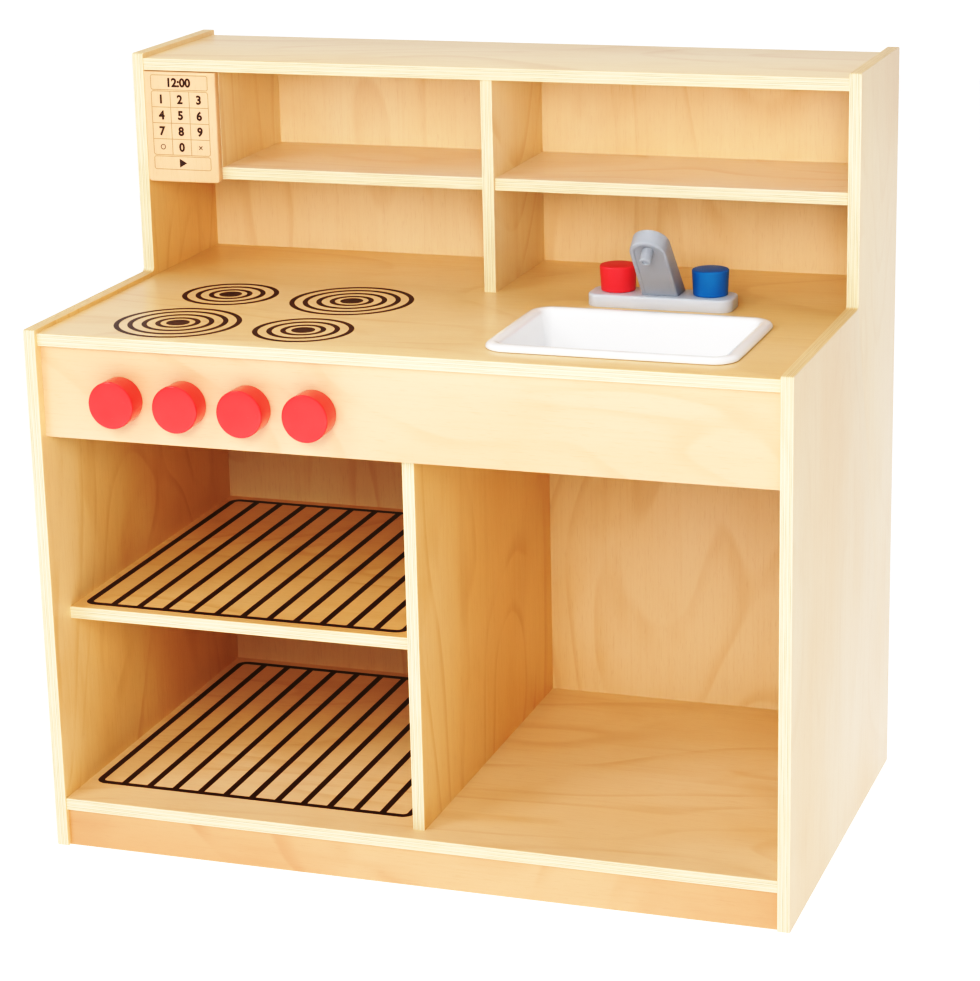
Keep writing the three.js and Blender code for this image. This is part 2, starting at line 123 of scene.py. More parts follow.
class Graph:
    """One material and short ways of adding nodes to it. Methods return output sockets."""

    def __init__(self, name):
        self.material = bpy.data.materials.new(name)
        self.material.use_nodes = True
        self.tree = self.material.node_tree
        self.shader = self.tree.nodes["Principled BSDF"]
        self.place = self.add("ShaderNodeTexCoord").outputs["Object"]

    def add(self, kind, **settings):
        node = self.tree.nodes.new(kind)
        for key, value in settings.items():
            setattr(node, key, value)
        return node

    def feed(self, socket, value):
        if isinstance(value, bpy.types.NodeSocket):
            self.tree.links.new(value, socket)
        else:
            socket.default_value = value

    def math(self, operation, *values):
        node = self.add("ShaderNodeMath", operation=operation)
        for socket, value in zip(node.inputs, values):
            self.feed(socket, value)
        return node.outputs[0]

    def mix(self, share, first, second):
        node = self.add("ShaderNodeMix", data_type="RGBA")
        self.feed(node.inputs[0], share)
        self.feed(node.inputs[6], first)
        self.feed(node.inputs[7], second)
        return node.outputs[2]

    def axis(self, letter):
        node = self.add("ShaderNodeSeparateXYZ")
        self.feed(node.inputs[0], self.place)
        return node.outputs[letter]

    def facing_up(self):
        """How far the surface's normal points up: 1 on a level top."""
        node = self.add("ShaderNodeSeparateXYZ")
        self.feed(node.inputs[0], self.add("ShaderNodeNewGeometry").outputs["Normal"])
        return node.outputs["Z"]

    def stretched(self, scale, offset=(0, 0, 0)):
        node = self.add("ShaderNodeMapping")
        self.feed(node.inputs["Vector"], self.place)
        self.feed(node.inputs["Location"], offset)
        self.feed(node.inputs["Scale"], scale)
        return node.outputs[0]

    def noise(self, place, scale=1.0, detail=2.0, roughness=0.5, distortion=0.0):
        node = self.add("ShaderNodeTexNoise")
        self.feed(node.inputs["Vector"], place)
        self.feed(node.inputs["Scale"], scale)
        self.feed(node.inputs["Detail"], detail)
        self.feed(node.inputs["Roughness"], roughness)
        self.feed(node.inputs["Distortion"], distortion)
        return node.outputs[0]

    def ramp(self, value, *stops):
        """Grey levels at positions, joined smoothly."""
        node = self.add("ShaderNodeValToRGB")
        elements = node.color_ramp.elements
        node.color_ramp.interpolation = "EASE"
        while len(elements) < len(stops):
            elements.new(0.5)
        for element, (position, level) in zip(elements, stops):
            element.position = position
            element.color = (level, level, level, 1)
        self.feed(node.inputs[0], value)
        return node.outputs[0]

    def between(self, value, low, high):
        """A value from 0 to 1 as one from low to high."""
        return self.math("MULTIPLY_ADD", value, high - low, low)

    def bump(self, height, distance, strength=1.0):
        node = self.add("ShaderNodeBump")
        self.feed(node.inputs["Strength"], strength)
        self.feed(node.inputs["Distance"], distance)
        self.feed(node.inputs["Height"], height)
        self.feed(self.shader.inputs["Normal"], node.outputs[0])

    def finish(self, colour, roughness, **uniform):
        self.feed(self.shader.inputs["Base Color"], colour)
        self.feed(self.shader.inputs["Roughness"], roughness)
        for key, value in uniform.items():
            self.shader.inputs[key.replace("_", " ").title()].default_value = value
        return self.material


def tones(pale, warm, line, pore):
    """The colours of a birch veneer: its ground, warmer patches, growth lines and pores."""
    return {"pale": srgb(*pale), "warm": srgb(*warm), "line": srgb(*line), "pore": srgb(*pore)}


# BIRCH, the palest, is lightened past the wood's own colour as a painted sheen on the upper shelves.
BIRCH = tones((246, 229, 206), (242, 218, 188), (222, 184, 142), (186, 144, 102))
CREAM = tones((243, 217, 182), (239, 204, 162), (216, 171, 120), (180, 132, 86))
PEACH = tones((236, 197, 161), (231, 185, 145), (212, 156, 108), (176, 122, 80))
AMBER = tones((220, 175, 132), (212, 159, 113), (193, 133, 85), (162, 108, 68))
# GOLDEN is the birch tone deepened as painted shade for surfaces inside the cabinet.
GOLDEN = tones((245, 210, 160), (240, 198, 142), (214, 160, 100), (176, 124, 74))
HONEY = tones((244, 219, 182), (240, 208, 165), (216, 170, 118), (178, 130, 84))
WHEAT = tones((242, 211, 167), (237, 200, 148), (214, 164, 108), (178, 128, 80))


def birch_face(name, grain, seed, tone=BIRCH, figure=1.0):
    """Rotary-cut birch veneer under satin lacquer. `grain` is the axis that its fibres run along, and
    `figure` scales how strongly the pattern shows."""
    g = Graph(name)
    offset = (seed * 3.7, seed * 1.9, seed * 5.3)

    def along(slow, fast):
        scale = [slow if letter == grain else fast for letter in "XYZ"]
        return g.stretched(scale, offset)

    # Broad clouds and golden blotches, then the thin broken contours where the cutter met the rings.
    clouds = g.noise(along(2.2, 4.2), detail=2.5)
    blotches = g.noise(along(4.5, 8.0), detail=2, distortion=0.9)
    growth = g.noise(along(1.15, 3.4), detail=1.3, distortion=0.55)
    rings = g.math("FRACT", g.math("MULTIPLY", growth, 12.0))
    contours = g.ramp(rings, (0.0, 0.0), (0.66, 0.1), (0.92, 1.0), (1.0, 0.0))
    broken = g.ramp(g.noise(along(6.0, 15.0), detail=2), (0.36, 0.12), (0.62, 1.0))
    fibres = g.noise(along(7.0, 300.0), detail=3, roughness=0.6)
    streaks = g.noise(along(2.6, 45.0), detail=2)
    pores = g.ramp(g.noise(along(60.0, 900.0), detail=1), (0.6, 0.0), (0.74, 1.0))

    colour = g.mix(g.ramp(clouds, (0.3, 0.0), (0.7, 1.0)), tone["pale"], tone["warm"])
    colour = g.mix(g.ramp(blotches, (0.5, 0.0), (0.78, 0.24 * figure)), colour, tone["line"])
    lines = g.math("MULTIPLY", g.math("MULTIPLY", contours, broken), 0.34 * figure)
    colour = g.mix(lines, colour, tone["line"])
    colour = g.mix(g.ramp(streaks, (0.52, 0.0), (0.85, 0.14 * figure)), colour, tone["line"])
    colour = g.mix(g.ramp(fibres, (0.42, 0.0), (0.9, 0.08 + 0.1 * figure)), colour, tone["line"])
    colour = g.mix(g.math("MULTIPLY", pores, 0.12), colour, tone["pore"])

    g.bump(g.math("MULTIPLY_ADD", pores, -0.6, fibres), 0.12 * MM, 0.35)
    return g.finish(colour, g.between(fibres, 0.34, 0.5), coat_weight=0.3, coat_roughness=0.2)


def ply_edge(name, axis, start, seed):
    """Sanded, lacquered plywood edge: thin layers of alternating grain with broken dark glue lines."""
    g = Graph(name)
    depth = g.math("MULTIPLY", g.math("SUBTRACT", g.axis(axis), start), PLIES / PLY)
    layer = g.math("FLOOR", depth)
    within = g.math("FRACT", depth)
    crossing = g.math("MODULO", layer, 2.0)
    to_line = g.math("ABSOLUTE", g.math("SUBTRACT", within, 0.5))
    line = g.ramp(to_line, (0.3, 0.0), (0.5, 1.0))

    across = [620.0 if letter == axis else 16.0 for letter in "XYZ"]
    broken = g.noise(g.stretched(across, (seed, seed * 2.0, seed * 3.0)), detail=2)
    speck = g.noise(g.place, 900.0, detail=1)
    wander = g.noise(g.place, 9.0, detail=2)

    pale, crosswise, glue = srgb(242, 224, 190), srgb(230, 205, 158), srgb(150, 126, 88)
    share = g.math("MULTIPLY", crossing, g.between(speck, 0.2, 0.8))
    colour = g.mix(share, pale, crosswise)
    strength = g.ramp(broken, (0.4, 0.12), (0.62, 0.85))
    colour = g.mix(g.math("MULTIPLY", line, strength), colour, glue)
    colour = g.mix(g.ramp(wander, (0.4, 0.0), (0.8, 0.25)), colour, crosswise)
    # Edges that face up are mixed towards amber as painted shade, for the darker, more golden look
    # their tops have in this light.
    painted_top_shade = g.ramp(g.facing_up(), (0.6, 0.0), (0.9, 0.5))
    colour = g.mix(painted_top_shade, colour, srgb(222, 176, 112))
    g.bump(g.math("MULTIPLY_ADD", line, -0.7, speck), 0.1 * MM, 0.35)
    return g.finish(colour, g.between(speck, 0.42, 0.6), coat_weight=0.06, coat_roughness=0.3)


def beech(name="beech"):
    g = Graph(name)
    fibres = g.noise(g.stretched((20.0, 400.0, 400.0)), detail=3)
    flecks = g.ramp(g.noise(g.stretched((300.0, 900.0, 900.0)), detail=1), (0.6, 0.0), (0.7, 1.0))
    colour = g.mix(fibres, srgb(226, 190, 142), srgb(196, 150, 100))
    colour = g.mix(g.math("MULTIPLY", flecks, 0.4), colour, srgb(150, 104, 66))
    g.bump(fibres, 0.15 * MM, 0.5)
    return g.finish(colour, g.between(fibres, 0.55, 0.75))


def ink(name="printed_ink"):
    """Screen-printed dark brown ink, a little uneven, that takes the fibres under it."""
    g = Graph(name)
    cloud = g.noise(g.place, 35.0, detail=3)
    grit = g.noise(g.place, 1500.0, detail=2)
    colour = g.mix(cloud, srgb(52, 22, 10), srgb(70, 36, 18))
    colour = g.mix(g.ramp(grit, (0.62, 0.0), (0.8, 0.3)), colour, srgb(120, 78, 44))
    g.bump(grit, 0.05 * MM, 0.4)
    return g.finish(colour, g.between(grit, 0.38, 0.55))


def faint_ink(name="faint_ink"):
    """The thinner, paler ink of the keypad's key outlines."""
    g = Graph(name)
    cloud = g.noise(g.place, 160.0, detail=3)
    colour = g.mix(cloud, srgb(160, 116, 72), srgb(196, 152, 104))
    g.bump(cloud, 0.05 * MM, 0.3)
    return g.finish(colour, g.between(cloud, 0.45, 0.6))


def moulded(name, colour, worn, roughness, grit_scale=700.0, dent=0.06, **uniform):
    """Moulded or lacquered colour: slow shade changes, fine orange peel and small rubbed specks."""
    g = Graph(name)
    cloud = g.noise(g.place, 14.0, detail=3)
    peel = g.noise(g.place, grit_scale, detail=2)
    specks = g.ramp(g.noise(g.place, 260.0, detail=2), (0.66, 0.0), (0.8, 0.35))
    mixed = g.mix(g.ramp(cloud, (0.3, 0.0), (0.8, 0.3)), colour, worn)
    mixed = g.mix(specks, mixed, worn)
    g.bump(peel, dent * MM, 0.3)
    return g.finish(mixed, g.between(cloud, roughness - 0.06, roughness + 0.08), **uniform)


def zinc(name="zinc_steel"):
    """Bright zinc plate with a faint yellow haze and turning marks."""
    g = Graph(name)
    haze = g.noise(g.place, 120.0, detail=3)
    marks = g.noise(g.stretched((300.0, 300.0, 2400.0)), detail=2)
    colour = g.mix(haze, srgb(196, 198, 202), srgb(176, 172, 158))
    g.bump(marks, 0.04 * MM, 0.4)
    return g.finish(colour, g.between(haze, 0.22, 0.4), metallic=1.0)


MATERIALS = {
    "beech_dowel": beech(),
    "printed_ink": ink(),
    "knob_coral": moulded("knob_coral", srgb(238, 48, 50), srgb(244, 78, 76), 0.42, coat_weight=0.9),
    "tap_red": moulded("tap_red", srgb(242, 64, 74), srgb(246, 88, 92), 0.34, coat_weight=0.2),
    "tap_blue": moulded("tap_blue", srgb(0, 114, 176), srgb(24, 130, 196), 0.34, coat_weight=0.2),
    # The base and the spout are one grey plastic: the base's lighter grey is painted light on its lit
    # front, and the spout's darker grey is painted shade on its face that leans down.
    "faucet_grey": moulded("faucet_grey", srgb(204, 210, 219), srgb(214, 218, 225), 0.38, dent=0.1),
    "shaded_spout_grey": moulded("shaded_spout_grey", srgb(168, 172, 180), srgb(182, 186, 193), 0.38, dent=0.1),
    "sink_white": moulded("sink_white", srgb(252, 252, 253), srgb(247, 247, 249), 0.2, dent=0.03,
                          coat_weight=0.3),
    "zinc_steel": zinc(),
}
FAINT_INK = faint_ink()


# ---------------------------------------------------------------- mesh making

def piece(name, mesh_data, materials, body, replaced=(), smooth=None, sharp_above=35):
    """A finished object from a bmesh. It rides on a body, takes a slot and stands for CAD nodes."""
    mesh = bpy.data.meshes.new(name)
    mesh_data.to_mesh(mesh)
    mesh_data.free()
    for material in materials:
        mesh.materials.append(material)
    if smooth:
        mesh.shade_smooth()
        mesh.set_sharp_from_angle(angle=math.radians(sharp_above))
    made = bpy.data.objects.new(name, mesh)
    bpy.context.scene.collection.objects.link(made)
    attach(made, body)
    if replaced:
        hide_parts(*replaced)
    return made


def skin(bm, rings, closed=False):
    """A closed body through rings of equal point count: capped at both ends, or joined end to end."""
    rows = [[bm.verts.new(point) for point in ring] for ring in rings]
    pairs = list(zip(rows, rows[1:]))
    if closed:
        pairs.append((rows[-1], rows[0]))
    made = []
    for first, second in pairs:
        for i in range(len(first)):
            j = (i + 1) % len(first)
            made.append(bm.faces.new((first[i], first[j], second[j], second[i])))
    if not closed:
        made.append(bm.faces.new(rows[0]))
        made.append(bm.faces.new(rows[-1]))
    bmesh.ops.recalc_face_normals(bm, faces=made)


def prism(bm, place, low, high, loops):
    """A closed plate: the first loop is its outline and the others are holes. `place` turns
    (a, b, height) into a point."""
    levels = []
    made = []
    for loop in loops:
        ends = [[bm.verts.new(place(a, b, height)) for a, b in loop] for height in (low, high)]
        levels.append(ends)
        for i in range(len(loop)):
            j = (i + 1) % len(loop)
            made.append(bm.faces.new((ends[0][i], ends[0][j], ends[1][j], ends[1][i])))
    for level in (0, 1):
        if len(loops) == 1:
            made.append(bm.faces.new(levels[0][level]))
            continue
        rims = []
        for ends in levels:
            row = ends[level]
            rims += [bm.edges.get((row[i], row[(i + 1) % len(row)])) for i in range(len(row))]
        filled = bmesh.ops.triangle_fill(bm, use_beauty=True, edges=rims)
        made += [item for item in filled["geom"] if isinstance(item, bmesh.types.BMFace)]
    bmesh.ops.recalc_face_normals(bm, faces=made)


def arc(centre_a, centre_b, radius, start, end, steps):
    """Points of an arc between two angles in degrees, both ends included."""
    points = []
    for i in range(steps + 1):
        angle = math.radians(start + (end - start) * i / steps)
        points.append((centre_a + radius * math.cos(angle), centre_b + radius * math.sin(angle)))
    return points


def circle(centre_a, centre_b, radius, steps=64):
    return arc(centre_a, centre_b, radius, 0, 360, steps)[:-1]


def rectangle(a0, a1, b0, b1):
    return [(a0, b0), (a1, b0), (a1, b1), (a0, b1)]


def rounded_rectangle(a0, a1, b0, b1, corner, steps=6):
    loop = []
    corners = [(a1 - corner, b1 - corner), (a0 + corner, b1 - corner),
               (a0 + corner, b0 + corner), (a1 - corner, b0 + corner)]
    for i, (a, b) in enumerate(corners):
        loop += arc(a, b, corner, 90 * i, 90 * i + 90, steps)
    return loop


def turned(profile, base, axis, steps=64):
    """Rings about an axis through base, from (radius, distance along the axis) pairs. A radius may
    also be a function of the angle."""
    across = axis.orthogonal().normalized()
    up = axis.cross(across)
    rings = []
    for radius, distance in profile:
        ring = []
        for i in range(steps):
            angle = 2 * math.pi * i / steps
            reach = radius(angle) if callable(radius) else radius
            outward = across * math.cos(angle) + up * math.sin(angle)
            ring.append(base + axis * distance + outward * reach)
        rings.append(ring)
    return rings


def quarter(radius, end, round_by, outward=1, steps=6):
    """Profile points of a convex round from a side wall to an end face, `outward` along the axis."""
    points = []
    for i in range(steps + 1):
        angle = math.radians(90 * i / steps)
        points.append((radius - round_by + round_by * math.cos(angle),
                       end - outward * round_by * (1 - math.sin(angle))))
    return points


# ---------------------------------------------------------------- boards

AXES = "XYZ"
PLANES = {
    "X": lambda a, b, h: Vector((h, a, b)),
    "Y": lambda a, b, h: Vector((a, h, b)),
    "Z": lambda a, b, h: Vector((a, b, h)),
}
SIDES = {"front": (1, 0), "rear": (1, 1), "bottom": (2, 0), "top": (2, 1)}


def rounded_rims(bm, axis, low, high, chosen, radius):
    """Rounds the edges where the board's two faces meet the chosen sides, or all of them."""
    index = AXES.index(axis)
    near = 0.01 * MM
    picked = []
    for edge in bm.edges:
        ends = [vert.co for vert in edge.verts]
        on_face = any(all(abs(end[index] - box[index]) < near for end in ends) for box in (low, high))
        if not on_face or len(edge.link_faces) != 2:
            continue
        bend = edge.link_faces[0].normal.angle(edge.link_faces[1].normal)
        if bend < math.radians(30):
            continue
        if chosen == "all":
            picked.append(edge)
            continue
        for word in chosen:
            side_axis, end_index = SIDES[word]
            value = (low, high)[end_index][side_axis]
            if all(abs(end[side_axis] - value) < near for end in ends):
                picked.append(edge)
    bmesh.ops.bevel(bm, geom=picked, offset=radius, segments=3, profile=0.5, affect="EDGES")


# Each board in turn gets its own stretch of veneer.
board_seeds = itertools.count(1)


def board(node, axis, grain, rounds=("front",), outline=None, holes=(), tone=BIRCH, figure=1.0,
          edge_radius=BOARD_EDGE, solid_wood=False, painted_shade_side=0):
    """A plywood board where its CAD node is: veneered faces across `axis`, layered edges all round.
    The last argument, 1 or -1 along the axis, is the side whose veneer takes the golden tone as painted
    shade of the cabinet's inside; 0 is neither."""
    seed = next(board_seeds)
    low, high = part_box(node)
    a, b = [i for i in range(3) if AXES[i] != axis]
    index = AXES.index(axis)
    if outline is None:
        outline = rectangle(low[a], high[a], low[b], high[b])
    bm = bmesh.new()
    prism(bm, PLANES[axis], low[index], high[index], [outline, *holes])
    bm.normal_update()
    if rounds:
        rounded_rims(bm, axis, low, high, rounds, edge_radius)
    bm.normal_update()
    for face in bm.faces:
        is_face = abs(face.normal[index]) > FACE_FACING or solid_wood
        face.material_index = 0 if is_face else 1
        # Faces on the shaded side take the golden veneer: painted shade.
        if is_face and painted_shade_side and face.normal[index] * painted_shade_side > 0:
            face.material_index = 2
    materials = [birch_face(f"{node}_face", grain, seed, tone, figure),
                 ply_edge(f"{node}_edge", axis, low[index], seed)]
    if painted_shade_side:
        materials.append(birch_face(f"{node}_painted_shade_face", grain, seed + 0.5, GOLDEN, 1.0))
    return piece(f"{node}_veneered", bm, materials, "cabinet", [node], smooth=True,
                 sharp_above=20)


def side_outline():
    """The stepped side panel, in (y, z): low at the front, full height behind the counter."""
    low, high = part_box("left_side_panel")
    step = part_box("countertop")[1].z + STEP_RISE
    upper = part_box("top_panel")[0].y - UPPER_SETBACK
    r, inner = SIDE_OUTER_CORNER, SIDE_INNER_CORNER
    loop = arc(low.y + r, low.z + r, r, 180, 270, 4)
    loop += arc(high.y - r, low.z + r, r, 270, 360, 4)
    loop += arc(high.y - r, high.z - r, r, 0, 90, 4)
    loop += arc(upper + r, high.z - r, r, 90, 180, 4)
    loop += arc(upper - inner, step + inner, inner, 0, -90, 6)
    loop += arc(low.y + r, step - r, r, 90, 180, 4)
    return loop


def sink_opening():
    low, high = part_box("sink_basin")
    inset = SINK_OPENING_INSET
    return rounded_rectangle(low.x + inset, high.x - inset, low.y + inset, high.y - inset,
                             SINK_OPENING_CORNER)


def centre(node):
    low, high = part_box(node)
    return (low + high) / 2


def make_boards():
    # Each side panel's inner face takes the golden veneer as painted shade of the cabinet's inside.
    board("left_side_panel", "X", "Z", "all", outline=side_outline(), tone=CREAM, figure=0.35,
          painted_shade_side=1)
    board("right_side_panel", "X", "Z", "all", outline=side_outline(), tone=CREAM, figure=0.35,
          painted_shade_side=-1)
    board("bottom_shelf", "Z", "X", tone=HONEY)
    board("kick_board", "Y", "X", ("bottom",), tone=AMBER, figure=1.3)
    # The lower divider and the oven shelf, inside the cabinet, take the golden tone as painted shade.
    board("lower_divider", "X", "Z", tone=GOLDEN)
    board("oven_shelf", "Z", "X", tone=GOLDEN)
    bolts = [centre(f"stove_knob_bolt_{i}") for i in range(1, 5)]
    board("front_apron", "Y", "X", ("bottom",), tone=PEACH, figure=0.7,
          holes=[circle(at.x, at.z, BOLT_HOLE, 24)[::-1] for at in bolts])
    screws = [centre(f"faucet_base_screw_{word}") for word in ("left", "right")]
    board("countertop", "Z", "X", tone=WHEAT, figure=0.8,
          holes=[sink_opening(), *[circle(at.x, at.y, BASE_SCREW_HOLE, 16) for at in screws]])
    heads = [centre(name) for name in sorted(frame["nodes"]) if name.startswith("back_screw")]
    board("back_panel", "Y", "Z", ("top", "bottom"), tone=HONEY, figure=0.85,
          holes=[circle(at.x, at.z, BACK_SCREW_HOLE, 24) for at in heads])
    board("top_panel", "Z", "X", ("front", "rear"), tone=WHEAT)
    board("upper_divider", "X", "Z", tone=HONEY)
    # The upper shelves take the palest tone: their birch colour lightened further as a painted sheen.
    board("left_upper_shelf", "Z", "X")
    board("right_upper_shelf", "Z", "X")
    board("keypad_partition", "X", "Z", (), tone=HONEY)
    low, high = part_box("keypad_board")
    corner = KEYPAD_CORNER
    top = high.z - KEYPAD_GAP
    outline = [(low.x, top), *arc(low.x + corner, low.z + corner, corner, 180, 270, 6),
               *arc(high.x - corner, low.z + corner, corner, 270, 360, 6), (high.x, top)]
    board("keypad_board", "Y", "Z", "all", outline=outline, edge_radius=KEYPAD_EDGE, tone=PEACH,
          figure=0.3, solid_wood=True)


# ---------------------------------------------------------------- prints

def on_top(z):
    return lambda a, b, height: Vector((a, b, z + height))


def on_front(y):
    return lambda a, b, height: Vector((a, y - height, b))


def printed_band(bm, place, outer, inner):
    """A closed band of ink between two loops of equal point count."""
    corners = [(inner, -INK_SUNK), (outer, -INK_SUNK), (outer, INK_PROUD), (inner, INK_PROUD)]
    skin(bm, [[place(a, b, height) for a, b in loop] for loop, height in corners], closed=True)


def printed_patch(bm, place, loop):
    skin(bm, [[place(a, b, height) for a, b in loop] for height in (-INK_SUNK, INK_PROUD)])


def frame_loops(a0, a1, b0, b1, corner, line):
    """Outer and inner loops of a rounded rectangle whose line is centred on the given sides."""
    half = line / 2
    outer = rounded_rectangle(a0 - half, a1 + half, b0 - half, b1 + half, corner + half)
    inner = rounded_rectangle(a0 + half, a1 - half, b0 + half, b1 - half, max(corner - half, 0.2 * MM))
    return outer, inner


# The printed burners: their centres from the countertop's left and front edges, and their rings.
BURNER_COLUMNS = (138.5 * MM, 297 * MM)
BURNER_ROWS = (89.5 * MM, 243.5 * MM)
RING_RADII = [26.6 * MM, 42.6 * MM, 59.1 * MM, 75.1 * MM]
RING_LINE = 6.2 * MM
DISC_RADIUS = 13.9 * MM


def make_hob():
    """Four printed burners: a disc and three or four rings each, large and small ones crosswise."""
    low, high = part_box("countertop")
    left, right = [low.x + distance for distance in BURNER_COLUMNS]
    front, rear = [low.y + distance for distance in BURNER_ROWS]
    burners = [("large_front_left", left, front, 4), ("small_front_right", right, front, 3),
               ("small_rear_left", left, rear, 3), ("large_rear_right", right, rear, 4)]
    place = on_top(high.z)
    for word, x, y, rings in burners:
        bm = bmesh.new()
        printed_patch(bm, place, circle(x, y, DISC_RADIUS))
        for radius in RING_RADII[:rings]:
            printed_band(bm, place, circle(x, y, radius, 96), circle(x, y, radius - RING_LINE, 96))
        piece(f"burner_{word}", bm, [MATERIALS["printed_ink"]], "cabinet")


RACK_BARS = 11
RACK_LINE = 8.2 * MM
RACK_SIZE = (406.5 * MM, 444.5 * MM)
RACK_FROM_SIDE = 14 * MM
RACK_FROM_BACK = 17.5 * MM
RACK_CORNER = 10 * MM


def make_rack(name, shelf):
    """An oven rack printed on a shelf: a rounded frame and bars from front to back."""
    low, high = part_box(shelf)
    a0 = low.x + RACK_FROM_SIDE
    a1 = a0 + RACK_SIZE[0]
    b1 = high.y - RACK_FROM_BACK
    b0 = b1 - RACK_SIZE[1]
    place = on_top(high.z)
    bm = bmesh.new()
    printed_band(bm, place, *frame_loops(a0, a1, b0, b1, RACK_CORNER, RACK_LINE))
    half = RACK_LINE / 2
    for i in range(1, RACK_BARS + 1):
        x = a0 + (a1 - a0) * i / (RACK_BARS + 1)
        printed_patch(bm, place, rectangle(x - half, x + half, b0 + half, b1 - half))
    piece(name, bm, [MATERIALS["printed_ink"]], "cabinet")


def written(bm, text, x, z, y):
    """Adds raised numerals centred on (x, z) of a surface that faces -Y."""
    curve = bpy.data.curves.new("numeral", "FONT")
    curve.body = text
    curve.size = NUMERAL_SIZE
    curve.align_x = "CENTER"
    curve.align_y = "CENTER"
    curve.offset = NUMERAL_BOLDER
    curve.resolution_u = 4
    curve.extrude = (INK_PROUD + INK_SUNK) / 2
    holder = bpy.data.objects.new("numeral", curve)
    bpy.context.scene.collection.objects.link(holder)
    bpy.context.view_layer.update()
    mesh = bpy.data.meshes.new_from_object(holder)
    xs = [vert.co.x for vert in mesh.vertices]
    ys = [vert.co.y for vert in mesh.vertices]
    middle_x, middle_y = (min(xs) + max(xs)) / 2, (min(ys) + max(ys)) / 2
    for vert in mesh.vertices:
        rise = vert.co.z + curve.extrude - INK_SUNK
        vert.co = Vector((x + vert.co.x - middle_x, y - rise, z + vert.co.y - middle_y))
    bm.from_mesh(mesh)
    bpy.data.objects.remove(holder)
    bpy.data.meshes.remove(mesh)


KEYPAD_MARGINS = (9.5 * MM, 10.5 * MM)
KEYPAD_LINE = 0.75 * MM
# Each printed field, from its bottom to its top, as distances below the keypad's top edge.
CLOCK_FIELD = (23 * MM, 5 * MM)
KEYS_FIELD = (104 * MM, 24.8 * MM)
BAR_FIELD = (122 * MM, 105.8 * MM)
FIELD_CORNER = 2.5 * MM
KEYS_CORNER = 3 * MM
NUMERAL_SIZE = 14.8 * MM
NUMERAL_BOLDER = 0.55 * MM
MERGE_DISTANCE = 0.002 * MM
SMALL_RING = (3.4 * MM, 2.5 * MM)
CROSS_ARM = 3.1 * MM
CROSS_HALF_WIDTH = 0.5 * MM
TRIANGLE_REACH = 5.8 * MM


def cross_loop(centre_a, centre_b):
    """A small diagonal cross of four arms."""
    loop = []
    for turn in range(4):
        angle = math.radians(45 + 90 * turn)
        for a, b in ((CROSS_ARM, -CROSS_HALF_WIDTH), (CROSS_ARM, CROSS_HALF_WIDTH),
                     (CROSS_HALF_WIDTH, CROSS_HALF_WIDTH)):
            loop.append((centre_a + a * math.cos(angle) - b * math.sin(angle),
                         centre_b + a * math.sin(angle) + b * math.cos(angle)))
    return loop


def triangle_loop(centre_a, centre_b):
    """A triangle that points to the right."""
    back, half = TRIANGLE_REACH * 0.7, TRIANGLE_REACH * 0.95
    return [(centre_a - back, centre_b - half), (centre_a + TRIANGLE_REACH, centre_b),
            (centre_a - back, centre_b + half)]


def make_keypad():
    """A clock, twelve outlined keys and a start bar, all printed on the keypad board."""
    low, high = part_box("keypad_board")
    place = on_front(low.y)
    x0, x1 = low.x + KEYPAD_MARGINS[0], high.x - KEYPAD_MARGINS[1]
    fields = (CLOCK_FIELD, KEYS_FIELD, BAR_FIELD)
    clock, keys, bar = [(high.z - bottom, high.z - top) for bottom, top in fields]
    column, row = (x1 - x0) / 3, (keys[1] - keys[0]) / 4
    half = KEYPAD_LINE / 2

    outlines = bmesh.new()
    for (z0, z1), corner in ((clock, FIELD_CORNER), (keys, KEYS_CORNER), (bar, FIELD_CORNER)):
        printed_band(outlines, place, *frame_loops(x0, x1, z0, z1, corner, KEYPAD_LINE))
    for i in (1, 2):
        x = x0 + column * i
        printed_patch(outlines, place, rectangle(x - half, x + half, keys[0] + half, keys[1] - half))
    for j in (1, 2, 3):
        z = keys[0] + row * j
        for i in range(3):
            start = x0 + column * i + half
            end = x0 + column * (i + 1) - half
            printed_patch(outlines, place, rectangle(start, end, z - half, z + half))
    piece("keypad_outlines", outlines, [FAINT_INK], "cabinet")

    numerals = bmesh.new()
    written(numerals, "12:00", (x0 + x1) / 2, sum(clock) / 2, low.y)
    for number in range(10):
        at_column = 1 if number == 0 else (number - 1) % 3
        at_row = 0 if number == 0 else 3 - (number - 1) // 3
        x = x0 + column * (at_column + 0.5)
        z = keys[0] + row * (at_row + 0.5)
        written(numerals, str(number), x, z, low.y)
    bmesh.ops.remove_doubles(numerals, verts=numerals.verts, dist=MERGE_DISTANCE)
    bmesh.ops.recalc_face_normals(numerals, faces=numerals.faces)
    piece("keypad_numerals", numerals, [MATERIALS["printed_ink"]], "cabinet")

    symbols = bmesh.new()
    ring_x, cross_x = x0 + column / 2, x1 - column / 2
    symbol_z = keys[0] + row / 2
    ring_outer, ring_inner = [circle(ring_x, symbol_z, radius, 32) for radius in SMALL_RING]
    printed_band(symbols, place, ring_outer, ring_inner)
    printed_patch(symbols, place, cross_loop(cross_x, symbol_z))
    printed_patch(symbols, place, triangle_loop((x0 + x1) / 2, sum(bar) / 2))
    piece("keypad_symbols", symbols, [MATERIALS["printed_ink"]], "cabinet")


# ---------------------------------------------------------------- knobs, bolts and screws

def cross_recess(length, width):
    """The radius of a cross-shaped screwdriver recess at an angle."""
    def reach(angle):
        inside = angle % (math.pi / 2)
        inside = min(inside, math.pi / 2 - inside)
        return min(length / math.cos(inside), width / max(math.sin(inside), 1e-6))
    return reach


# A cross recess's reach, width and depth, as shares of the screw head's radius.
RECESS_REACH = 0.55
RECESS_WIDTH = 0.13
RECESS_DEPTH = 0.5
RECESS_EASE = 0.05 * MM


